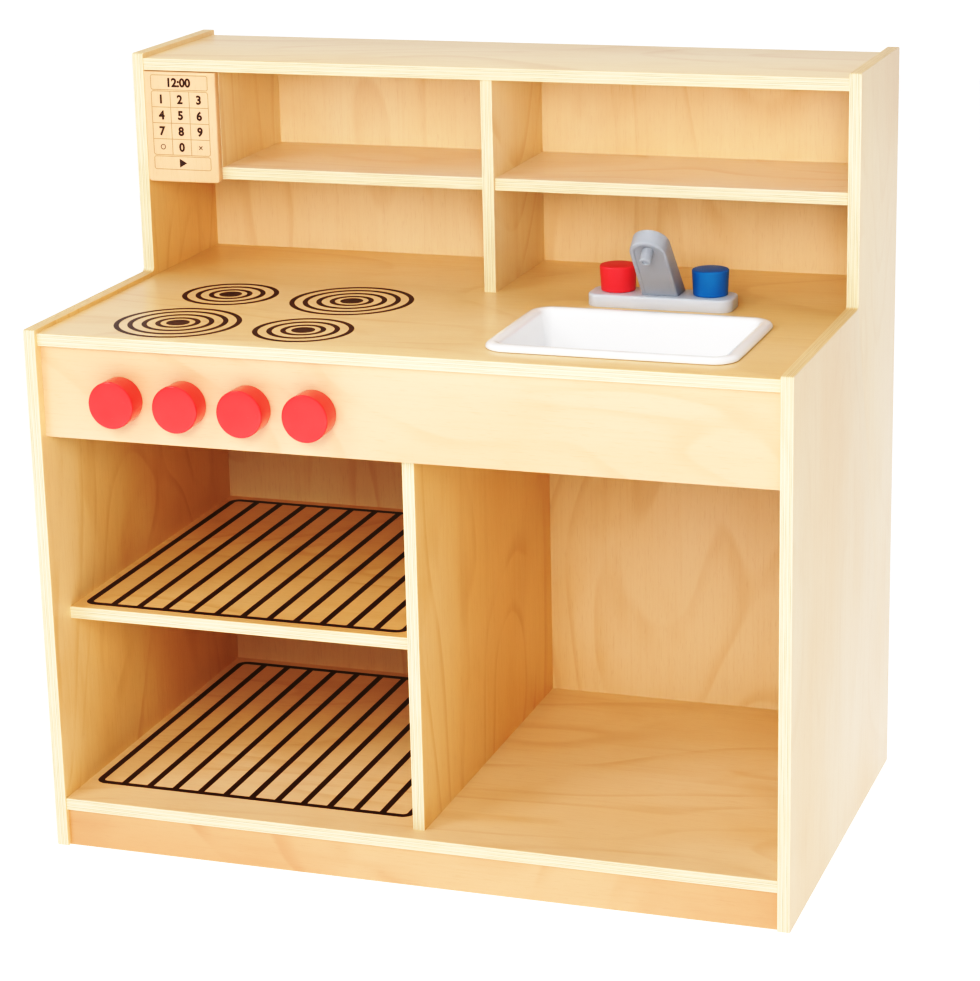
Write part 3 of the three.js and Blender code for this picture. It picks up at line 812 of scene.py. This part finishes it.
def make_screw(node, body, head_face, into, shape):
    """A cross-recessed screw: `shape` goes from the head's rim to the point, along `into`."""
    head = shape[0][0]
    reach, slot_width = head * RECESS_REACH, head * RECESS_WIDTH
    profile = [(cross_recess(reach * 0.45, slot_width * 0.6), head * RECESS_DEPTH),
               (cross_recess(reach, slot_width), RECESS_EASE),
               (cross_recess(reach * 1.06, slot_width * 1.2), 0.0),
               *shape]
    bm = bmesh.new()
    skin(bm, turned(profile, head_face, into, 48))
    piece(f"{node}_fastener", bm, [MATERIALS["zinc_steel"]], body, [node], smooth=True,
          sharp_above=40)


BACK_SCREW_SHANK = 1.8 * MM
BACK_SCREW_CONE = 2.6 * MM
BACK_SCREW_POINT = 3 * MM
BACK_SCREW_TIP = 0.3 * MM


def make_back_screws():
    """Countersunk heads lie level with the back panel's rear face."""
    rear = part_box("back_panel")[1].y
    for node in sorted(frame["nodes"]):
        if not node.startswith("back_screw"):
            continue
        low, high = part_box(node)
        at = (low + high) / 2
        at.y = rear
        head, length = (high.x - low.x) / 2, high.y - low.y
        shape = [(head - 0.25 * MM, 0.0), (head, 0.3 * MM), (BACK_SCREW_SHANK, BACK_SCREW_CONE),
                 (BACK_SCREW_SHANK, length - BACK_SCREW_POINT), (BACK_SCREW_TIP, length)]
        make_screw(node, "cabinet", at, -Y, shape)


KNOB_REAR_RING = 7 * MM
KNOB_REAR_EASE = 0.4 * MM
KNOB_REAR_ROUND = 1 * MM
KNOB_FRONT_ROUND = 1.8 * MM
BOLT_HEAD = 3.4 * MM
BOLT_HEAD_ROUND = 1.2 * MM
BOLT_SHANK = 2.5 * MM
BOLT_TIP = 2 * MM
WASHER_BORE = 2.9 * MM
WASHER_RIM = 0.25 * MM
CABINET_NODES = set(frame["record"]["behaviour"]["bodies"]["cabinet"])


def make_knob(body):
    """A plain disc knob with a soft front edge. Returns the middle of its box."""
    low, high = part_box(body)
    middle = (low + high) / 2
    rear = Vector((middle.x, high.y, middle.z))
    radius, length = (high.x - low.x) / 2, high.y - low.y
    profile = [(radius - KNOB_REAR_RING, 0.0),
               *reversed(quarter(radius - KNOB_REAR_EASE, 0.0, KNOB_REAR_ROUND, -1)),
               *quarter(radius, length, KNOB_FRONT_ROUND), (radius * 0.6, length)]
    bm = bmesh.new()
    skin(bm, turned(profile, rear, -Y, 96))
    piece(f"{body}_cap", bm, [MATERIALS["knob_coral"]], body, [body], smooth=True,
          sharp_above=50)
    return middle


def make_bolt(node, body, x, z):
    """The pan-headed bolt on which a knob turns, with its head behind the apron."""
    low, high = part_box(node)
    head, length = (high.x - low.x) / 2, high.y - low.y
    shape = [*reversed(quarter(head, 0.0, BOLT_HEAD_ROUND, -1)), (head, BOLT_HEAD - 0.2 * MM),
             (head - 0.2 * MM, BOLT_HEAD), (BOLT_SHANK, BOLT_HEAD), (BOLT_SHANK, length - 0.6 * MM),
             (BOLT_TIP, length)]
    make_screw(node, body, Vector((x, high.y, z)), -Y, shape)


def make_washer(node, body, x, z):
    low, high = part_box(node)
    outer, thick = (high.x - low.x) / 2, high.y - low.y
    profile = [(WASHER_BORE, 0.0), (outer - WASHER_RIM, 0.0), (outer, WASHER_RIM),
               (outer, thick - WASHER_RIM), (outer - WASHER_RIM, thick), (WASHER_BORE, thick)]
    bm = bmesh.new()
    skin(bm, turned(profile, Vector((x, low.y, z)), Y, 48), closed=True)
    washer_body = "cabinet" if node in CABINET_NODES else body
    piece(f"{node}_ring", bm, [MATERIALS["zinc_steel"]], washer_body, [node],
          smooth=True, sharp_above=30)


def make_stove_knobs():
    for i in range(1, 5):
        body = f"stove_knob_{i}"
        middle = make_knob(body)
        make_bolt(f"stove_knob_bolt_{i}", body, middle.x, middle.z)
        make_washer(f"stove_knob_washer_{i}", body, middle.x, middle.z)


# ---------------------------------------------------------------- sink and mixer tap

SINK_CORNER = 30 * MM
SINK_INNER_CORNER = 5 * MM
SINK_RIM_RISE = 7.8
# The basin's section in millimetres: how far in from the rim's outer edge, and how high. Its inside
# and underside are measured from its lowest point, and its rim from the counter's top.
SINK_INSIDE = [(60, 3.2), (44, 3.4), (36, 4.2), (30.5, 6), (26.6, 9.6), (24.2, 15), (22.6, 22),
               (20.6, 45)]
SINK_RIM = [(18.6, -6), (17.4, 2.4), (15.8, 5.6), (12.6, 7.4), (9, SINK_RIM_RISE), (5, 7.5), (2.2, 6.4),
            (0.5, 4.2), (0, 2.0), (0.5, 0.3), (2.6, 0.3), (3.2, 3), (6, 4.6), (10.8, 4.4), (13.6, 2.6),
            (14.6, -1), (16.4, -9)]
SINK_UNDERSIDE = [(20.2, 14), (22.6, 6.4), (27.5, 1.4), (36, 0), (60, 0)]


def make_sink():
    """A thin moulded basin: rolled rim, sloping walls and a softly dished floor."""
    low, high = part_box("sink_basin")
    width, depth, height = high.x - low.x, high.y - low.y, high.z - low.z
    middle = Vector(((low.x + high.x) / 2, (low.y + high.y) / 2, low.z))
    counter_top = height / MM - SINK_RIM_RISE
    rim = [(inset, counter_top + rise) for inset, rise in SINK_RIM]
    rings = []
    for inset, level in SINK_INSIDE + rim + SINK_UNDERSIDE:
        inset *= MM
        half_x, half_y = width / 2 - inset, depth / 2 - inset
        corner = max(SINK_CORNER - inset, SINK_INNER_CORNER)
        loop = rounded_rectangle(-half_x, half_x, -half_y, half_y, corner, 8)
        rings.append([middle + Vector((a, b, level * MM)) for a, b in loop])
    bm = bmesh.new()
    skin(bm, rings)
    made = piece("sink_bowl_moulding", bm, [MATERIALS["sink_white"]], "sink",
                 ["sink_basin"], smooth=True, sharp_above=80)
    modifier = made.modifiers.new("smooth", "SUBSURF")
    modifier.levels = 1
    modifier.render_levels = 1


BASE_CORNER = 16 * MM
BASE_ROUND = 2.6 * MM


def make_faucet_base():
    low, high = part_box("faucet_base")
    profile = [(0.4 * MM, 0.0), (0.0, 0.5 * MM)]
    profile += [(-radius, level) for radius, level in quarter(0.0, high.z - low.z, BASE_ROUND, steps=7)]
    rings = []
    for inset, level in profile:
        loop = rounded_rectangle(low.x + inset, high.x - inset, low.y + inset, high.y - inset,
                                 BASE_CORNER - inset, 10)
        rings.append([Vector((a, b, low.z + level)) for a, b in loop])
    bm = bmesh.new()
    skin(bm, rings)
    piece("faucet_base_plate", bm, [MATERIALS["faucet_grey"]], "cabinet", ["faucet_base"],
          smooth=True, sharp_above=40)


SPOUT_LEAN = math.radians(40)
SPOUT_LENGTH = 99 * MM
SPOUT_FOOT = 27 * MM
SPOUT_HEAD = 20.5 * MM
SPOUT_FOOT_FORWARD = 15 * MM
SPOUT_ROUND = 2 * MM
LIP_WIDTH = 3.2 * MM
LIP_DEPTH = 3.4 * MM
FOOT_LIFT = 0.3 * MM
NOZZLE_ALONG = 80 * MM
NOZZLE_LENGTH = 14 * MM
NOZZLE_RADIUS = 7 * MM
NOZZLE_BORE = 3.6 * MM


def spout_place(u, v, w):
    """A point of the leaning spout: u across, v up along its front face, w out of that face."""
    foot = centre("faucet_base") - Y * SPOUT_FOOT_FORWARD
    foot.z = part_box("faucet_base")[1].z
    up = Vector((0, -math.sin(SPOUT_LEAN), math.cos(SPOUT_LEAN)))
    out = Vector((0, -math.cos(SPOUT_LEAN), -math.sin(SPOUT_LEAN)))
    return foot + X * u + up * v + out * w


def spout_loop(inset, depth_at_foot, depth_at_head):
    """A loop with straight sides and a round top, at a depth behind the front face that changes along
    the spout. It ends level at the foot, just above the base."""
    low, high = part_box("faucet_spout")
    half = (high.x - low.x) / 2 - inset
    crown = SPOUT_LENGTH - (high.x - low.x) / 2
    slope = (depth_at_head - depth_at_foot) / SPOUT_LENGTH
    lift = FOOT_LIFT / math.cos(SPOUT_LEAN)
    tilt = math.tan(SPOUT_LEAN)
    # At the foot, v = lift + w tan(lean) with w = -(depth_at_foot + slope v).
    foot_v = (lift - depth_at_foot * tilt) / (1 + slope * tilt)
    steps = 8
    left = [(-half, foot_v + (crown - foot_v) * i / steps) for i in range(steps)]
    loop = left + arc(0, crown, half, 180, 0, 28) + [(-u, v) for u, v in reversed(left)]
    return [spout_place(u, v, -(depth_at_foot + slope * v)) for u, v in loop]


def make_spout():
    """A leaning slab with a round top, whose front face is sunk behind a hooded lip."""
    rings = []
    for radius, depth in reversed(quarter(0.0, 0.0, SPOUT_ROUND, -1)):
        rings.append(spout_loop(-radius, SPOUT_FOOT - depth, SPOUT_HEAD - depth))
    rings.append(spout_loop(0.0, SPOUT_FOOT * 0.5, SPOUT_HEAD * 0.5))
    for radius, depth in quarter(0.0, 0.0, SPOUT_ROUND, 1):
        rings.append(spout_loop(-radius, -depth, -depth))
    edge = SPOUT_ROUND + LIP_WIDTH
    rings.append(spout_loop(edge - 0.6 * MM, 0.0, 0.0))
    rings.append(spout_loop(edge - 0.1 * MM, 0.05 * MM, 0.5 * MM))
    rings.append(spout_loop(edge + 0.3 * MM, 0.1 * MM, LIP_DEPTH - 0.5 * MM))
    rings.append(spout_loop(edge + 0.9 * MM, 0.12 * MM, LIP_DEPTH))
    bm = bmesh.new()
    skin(bm, rings)
    # The spout takes the darker grey: painted shade.
    piece("faucet_spout_casting", bm, [MATERIALS["shaded_spout_grey"]], "cabinet",
          ["faucet_spout"], smooth=True, sharp_above=42)


def make_nozzle():
    """A short bored outlet that stands on the spout's sunk face."""
    base = spout_place(0, NOZZLE_ALONG, -LIP_DEPTH)
    out = (spout_place(0, NOZZLE_ALONG, 1) - spout_place(0, NOZZLE_ALONG, 0)).normalized()
    length = NOZZLE_LENGTH + LIP_DEPTH
    profile = [(NOZZLE_RADIUS * 0.8, 0.0), (NOZZLE_RADIUS, 0.0),
               *quarter(NOZZLE_RADIUS - 0.25 * MM, length, 1.6 * MM), (NOZZLE_BORE + 0.4 * MM, length),
               (NOZZLE_BORE, length - 0.4 * MM), (NOZZLE_BORE, length - 2.4 * MM),
               (NOZZLE_BORE * 0.4, length - 2.6 * MM)]
    bm = bmesh.new()
    skin(bm, turned(profile, base, out, 48))
    # The nozzle takes the spout's darker grey: painted shade.
    piece("faucet_nozzle_tip", bm, [MATERIALS["shaded_spout_grey"]], "cabinet",
          ["faucet_nozzle"], smooth=True, sharp_above=40)


TAP_TAPER = 1.5 * MM
TAP_CROWN = 0.5 * MM
TAP_TOP_ROUND = 2.2 * MM
TAP_FOOT_ROUND = 0.8 * MM


def make_taps():
    """Two tapered caps, wider at the top, with a slightly crowned end."""
    for body, slot in (("hot_tap", "tap_red"), ("cold_tap", "tap_blue")):
        low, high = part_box(body)
        at = (low + high) / 2
        at.z = low.z
        top, height = (high.x - low.x) / 2, high.z - low.z
        bottom = top - TAP_TAPER
        profile = [(bottom - 3 * MM, 0.0), *reversed(quarter(bottom, 0.0, TAP_FOOT_ROUND, -1, 4)),
                   *quarter(top, height - TAP_CROWN, TAP_TOP_ROUND, steps=7),
                   (top * 0.6, height - 0.15 * MM), (top * 0.25, height)]
        bm = bmesh.new()
        skin(bm, turned(profile, at, Z, 80))
        piece(f"{body}_cap", bm, [MATERIALS[slot]], body, [body], smooth=True, sharp_above=45)


def finish_hidden_parts():
    """The dowels and screws that are shown as the CAD nodes they are take the same finishes."""
    for name, node in frame["nodes"].items():
        if node.hide_render:
            continue
        finish = "beech_dowel" if "dowel" in name else "zinc_steel"
        for material_slot in node.material_slots:
            material_slot.material = MATERIALS[finish]


# ---------------------------------------------------------------- studio

FLOOR_REACH = 6.0
FLOOR_DEPTH = 0.02
FLOOR_GLOW = 0.74
WARM_WHITE = (1.0, 0.99, 0.97)
WHITE = (1.0, 1.0, 1.0)

# Azimuth, elevation, distance, size, power, colour, and whether gloss mirrors the light.
LIGHTS = {
    "key_light": (-36, 36, 3.8, 1.2, 25, WARM_WHITE, True),
    "front_light": (6, 25, 2.8, 0.9, 27, WARM_WHITE, False),
    "right_light": (20, 14, 3.4, 1.2, 11.5, WARM_WHITE, False),
    "top_light": (180, 72, 3.4, 2.0, 24, WHITE, True),
}

# A wide low strip whose narrow beam reaches into the upper compartments. It aims at a point that
# stands over the counter, on the back panel.
STRIP_SIZE = (1.1, 0.2)
STRIP_SPREAD = 14
STRIP_POWER = 0.12
STRIP_TARGET_X = 0.05
STRIP_TARGET_RISE = 0.14
STRIP_OFFSET = Vector((0.5, -1.65, 0.16))


def towards(azimuth, elevation):
    """From the object to a place round it. Azimuth 0 is in front of it and 90 to its right."""
    a, e = math.radians(azimuth), math.radians(elevation)
    return Vector((math.sin(a) * math.cos(e), -math.cos(a) * math.cos(e), math.sin(e)))


def make_floor():
    g = Graph("studio_floor")
    cloud = g.noise(g.place, 3.0, detail=2)
    colour = g.mix(cloud, srgb(205, 205, 205), srgb(200, 200, 200))
    g.finish(colour, 0.7, emission_strength=FLOOR_GLOW)
    g.shader.inputs["Emission Color"].default_value = (1.0, 1.0, 1.0, 1.0)
    bm = bmesh.new()
    outline = rectangle(-FLOOR_REACH, FLOOR_REACH, -FLOOR_REACH, FLOOR_REACH)
    prism(bm, PLANES["Z"], -FLOOR_DEPTH, 0.0, [outline])
    mesh = bpy.data.meshes.new("studio_floor")
    bm.to_mesh(mesh)
    bm.free()
    mesh.materials.append(g.material)
    floor = bpy.data.objects.new("studio_floor", mesh)
    bpy.context.scene.collection.objects.link(floor)


def soft_light(name, at, aim, size, power, tint, in_gloss):
    """A square light without hard shadows. One that stands low stays out of glossy reflections."""
    data = bpy.data.lights.new(name, "AREA")
    data.energy = power
    data.size = size
    data.color = tint
    light = bpy.data.objects.new(name, data)
    light.visible_glossy = in_gloss
    light.location = at
    light.rotation_euler = aim.to_track_quat("-Z", "Y").to_euler()
    bpy.context.scene.collection.objects.link(light)
    return light


def make_lights():
    middle = (cad_low + cad_high) / 2
    for name, (azimuth, elevation, distance, size, power, tint, in_gloss) in LIGHTS.items():
        direction = towards(azimuth, elevation)
        soft_light(name, middle + direction * distance, -direction, size, power, tint, in_gloss)
    target = Vector((STRIP_TARGET_X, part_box("back_panel")[0].y,
                     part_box("countertop")[1].z + STRIP_TARGET_RISE))
    at = target + STRIP_OFFSET
    strip = soft_light("hutch_light", at, target - at, STRIP_SIZE[0], STRIP_POWER, WARM_WHITE, False)
    strip.visible_camera = False
    strip.data.shape = "RECTANGLE"
    strip.data.size_y = STRIP_SIZE[1]
    strip.data.spread = math.radians(STRIP_SPREAD)


def make_world():
    """A white backdrop, dimmer in gloss, that lights the object less than either."""
    world = bpy.data.worlds.new("studio")
    world.use_nodes = True
    tree = world.node_tree
    background = tree.nodes["Background"]
    background.inputs["Color"].default_value = (1.0, 1.0, 1.0, 1.0)
    rays = tree.nodes.new("ShaderNodeLightPath")
    in_gloss = tree.nodes.new("ShaderNodeMix")
    in_gloss.inputs["A"].default_value = AMBIENT
    in_gloss.inputs["B"].default_value = GLOSS_LEVEL
    shown = tree.nodes.new("ShaderNodeMix")
    shown.inputs["B"].default_value = BACKDROP
    tree.links.new(rays.outputs["Is Glossy Ray"], in_gloss.inputs["Factor"])
    tree.links.new(rays.outputs["Is Camera Ray"], shown.inputs["Factor"])
    tree.links.new(in_gloss.outputs["Result"], shown.inputs["A"])
    tree.links.new(shown.outputs["Result"], background.inputs["Strength"])
    bpy.context.scene.world = world


def set_contrast():
    settings = bpy.context.scene.view_settings
    settings.view_transform = "Standard"
    settings.use_curve_mapping = True
    contrast = settings.curve_mapping
    for level, shown in CONTRAST:
        contrast.curves[3].points.new(level, shown)
    contrast.update()


def make_camera():
    data = bpy.data.cameras.new("camera")
    data.lens = CAMERA_LENS
    camera = bpy.data.objects.new("camera", data)
    camera.location = CAMERA_AT
    camera.rotation_mode = "QUATERNION"
    forward = -towards(CAMERA_AZIMUTH, CAMERA_ELEVATION)
    roll = Quaternion((0, 0, 1), math.radians(CAMERA_ROLL))
    camera.rotation_quaternion = forward.to_track_quat("-Z", "Y") @ roll
    bpy.context.scene.collection.objects.link(camera)
    bpy.context.scene.camera = camera


make_camera()
make_boards()
make_hob()
make_rack("oven_shelf_rack", "oven_shelf")
make_rack("bottom_shelf_rack", "bottom_shelf")
make_keypad()
make_back_screws()
make_stove_knobs()
make_sink()
make_faucet_base()
make_spout()
make_nozzle()
make_taps()
finish_hidden_parts()
make_floor()
make_world()
make_lights()
set_contrast()

bpy.context.view_layer.update()
